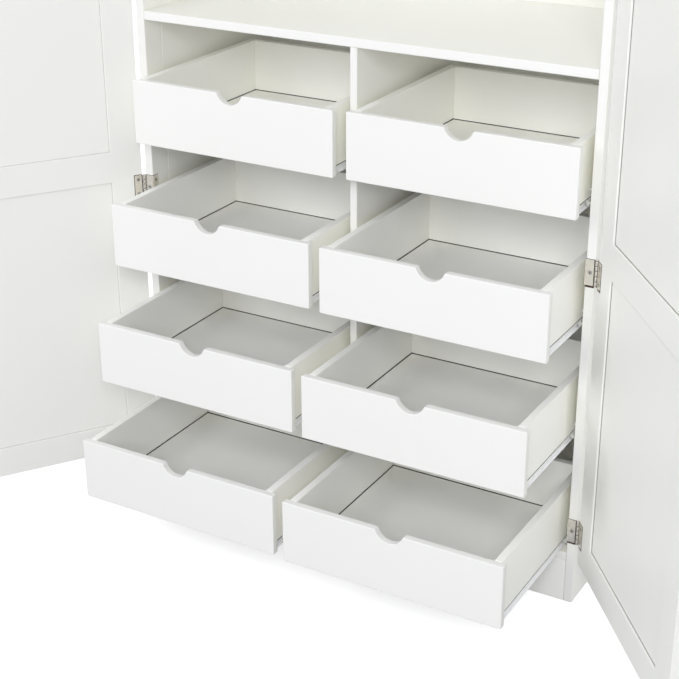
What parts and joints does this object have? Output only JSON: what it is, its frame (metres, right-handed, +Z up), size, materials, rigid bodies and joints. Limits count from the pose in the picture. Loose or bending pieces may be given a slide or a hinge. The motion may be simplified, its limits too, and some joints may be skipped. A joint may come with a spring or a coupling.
{
  "type": "armoire with doors and drawers",
  "caption": "White armoire with framed doors, a hanging space over a fixed shelf, and inset drawers with finger scoops on roller slides, shown open.",
  "frame": {"origin": "on the floor, midway across the carcass and midway through its depth, on the underside of the centre support", "axes": "+Z up, -Y towards the front where the doors and drawers open, +X to the right as seen from the front"},
  "size_m": [1.6451, 0.8982, 1.88],
  "materials": {
    "white_board": "smooth satin white paint on fibreboard, edges eased",
    "white_steel": "white epoxy-coated pressed steel",
    "satin_nickel": "satin nickel plate",
    "chrome_tube": "bright chrome-plated tube"
  },
  "bodies": {
    "carcass": {"front_post_left": "white_board", "front_post_right": "white_board", "side_panel_left": "white_board", "side_panel_right": "white_board", "top_panel": "white_board", "fixed_shelf": "white_board", "bottom_panel": "white_board", "plinth": "white_board", "centre_support": "white_board", "divider": "white_board", "back_panel": "white_board", "hanging_rail": "chrome_tube", "slide_rail_left_1_left": "white_steel", "slide_rail_left_1_right": "white_steel", "slide_rail_left_2_left": "white_steel", "slide_rail_left_2_right": "white_steel", "slide_rail_left_3_left": "white_steel", "slide_rail_left_3_right": "white_steel", "slide_rail_left_4_left": "white_steel", "slide_rail_left_4_right": "white_steel", "slide_rail_right_1_left": "white_steel", "slide_rail_right_1_right": "white_steel", "slide_rail_right_2_left": "white_steel", "slide_rail_right_2_right": "white_steel", "slide_rail_right_3_left": "white_steel", "slide_rail_right_3_right": "white_steel", "slide_rail_right_4_left": "white_steel", "slide_rail_right_4_right": "white_steel"},
    "door_left": {"door_frame_left": "white_board", "door_panel_lower_left": "white_board", "door_panel_upper_left": "white_board", "knob_left": "satin_nickel", "hinge_leaf_left_1": "satin_nickel", "hinge_leaf_left_2": "satin_nickel", "hinge_leaf_left_3": "satin_nickel", "hinge_leaf_left_4": "satin_nickel"},
    "door_right": {"door_frame_right": "white_board", "door_panel_lower_right": "white_board", "door_panel_upper_right": "white_board", "knob_right": "satin_nickel", "hinge_leaf_right_1": "satin_nickel", "hinge_leaf_right_2": "satin_nickel", "hinge_leaf_right_3": "satin_nickel", "hinge_leaf_right_4": "satin_nickel"},
    "drawer_left_1": {"drawer_front_left_1": "white_board", "drawer_box_left_1": "white_board"},
    "drawer_left_2": {"drawer_front_left_2": "white_board", "drawer_box_left_2": "white_board"},
    "drawer_left_3": {"drawer_front_left_3": "white_board", "drawer_box_left_3": "white_board"},
    "drawer_left_4": {"drawer_front_left_4": "white_board", "drawer_box_left_4": "white_board"},
    "drawer_right_1": {"drawer_front_right_1": "white_board", "drawer_box_right_1": "white_board"},
    "drawer_right_2": {"drawer_front_right_2": "white_board", "drawer_box_right_2": "white_board"},
    "drawer_right_3": {"drawer_front_right_3": "white_board", "drawer_box_right_3": "white_board"},
    "drawer_right_4": {"drawer_front_right_4": "white_board", "drawer_box_right_4": "white_board"}
  },
  "joints": [
    {"name": "door_left_hinge", "type": "hinge", "parent": "carcass", "child": "door_left", "pos_m": [-0.5035, -0.2415, 0.97], "axis": [0, 0, -1], "range_deg": [-33.7, 46.3]},
    {"name": "door_right_hinge", "type": "hinge", "parent": "carcass", "child": "door_right", "pos_m": [0.5035, -0.2415, 0.97], "axis": [0, 0, 1], "range_deg": [-38.5, 41.5]},
    {"name": "drawer_left_1_slide", "type": "slide", "parent": "carcass", "child": "drawer_left_1", "axis": [0, -1, 0], "range_m": [-0.293, 0.017]},
    {"name": "drawer_left_2_slide", "type": "slide", "parent": "carcass", "child": "drawer_left_2", "axis": [0, -1, 0], "range_m": [-0.217, 0.093]},
    {"name": "drawer_left_3_slide", "type": "slide", "parent": "carcass", "child": "drawer_left_3", "axis": [0, -1, 0], "range_m": [-0.149, 0.161]},
    {"name": "drawer_left_4_slide", "type": "slide", "parent": "carcass", "child": "drawer_left_4", "axis": [0, -1, 0], "range_m": [-0.057, 0.253]},
    {"name": "drawer_right_1_slide", "type": "slide", "parent": "carcass", "child": "drawer_right_1", "axis": [0, -1, 0], "range_m": [-0.3, 0.01]},
    {"name": "drawer_right_2_slide", "type": "slide", "parent": "carcass", "child": "drawer_right_2", "axis": [0, -1, 0], "range_m": [-0.224, 0.086]},
    {"name": "drawer_right_3_slide", "type": "slide", "parent": "carcass", "child": "drawer_right_3", "axis": [0, -1, 0], "range_m": [-0.154, 0.156]},
    {"name": "drawer_right_4_slide", "type": "slide", "parent": "carcass", "child": "drawer_right_4", "axis": [0, -1, 0], "range_m": [-0.052, 0.258]}
  ]
}
